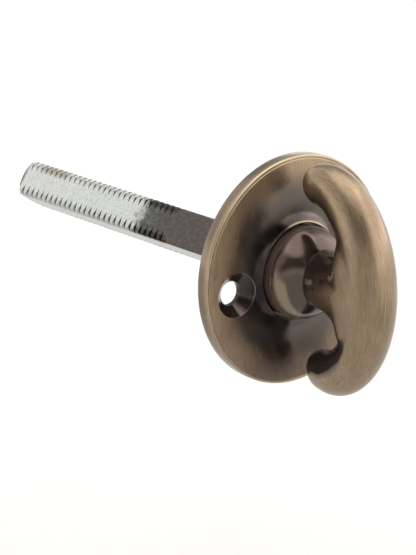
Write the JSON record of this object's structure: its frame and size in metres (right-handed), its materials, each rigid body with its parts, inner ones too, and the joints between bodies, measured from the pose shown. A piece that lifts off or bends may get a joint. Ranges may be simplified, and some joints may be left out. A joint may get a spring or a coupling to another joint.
{
  "type": "thumb turn with rose and spindle",
  "caption": "Crescent thumb-turn on a round screw-on rose, turning a square spindle that is threaded along its corners to work a latch on the far side of a door.",
  "frame": {"origin": "centre of the rose's back face, on the turning axis", "axes": "+Y along the spindle into the door, -Y towards the room, +Z along the crescent grip, +X across it"},
  "size_m": [0.0412, 0.1021, 0.0416],
  "materials": {
    "antique_brass": "brushed antique brass with dark patina",
    "plain_brass": "plain stamped brass",
    "zinc_plated_steel": "zinc-plated steel, dark oxide near the rose",
    "spring_steel": "black phosphated spring steel",
    "pin_steel": "plain steel pin"
  },
  "bodies": {
    "rose": {"rose": "antique_brass", "thrust_washer": "plain_brass"},
    "turn": {"turn_handle": "antique_brass", "spindle": "zinc_plated_steel", "retaining_ring": "spring_steel", "spindle_pin": "pin_steel"}
  },
  "joints": [
    {"name": "turn_spin", "type": "hinge", "parent": "rose", "child": "turn", "pos_m": [0, 0, 0], "axis": [0, 1, 0], "continuous": true}
  ]
}
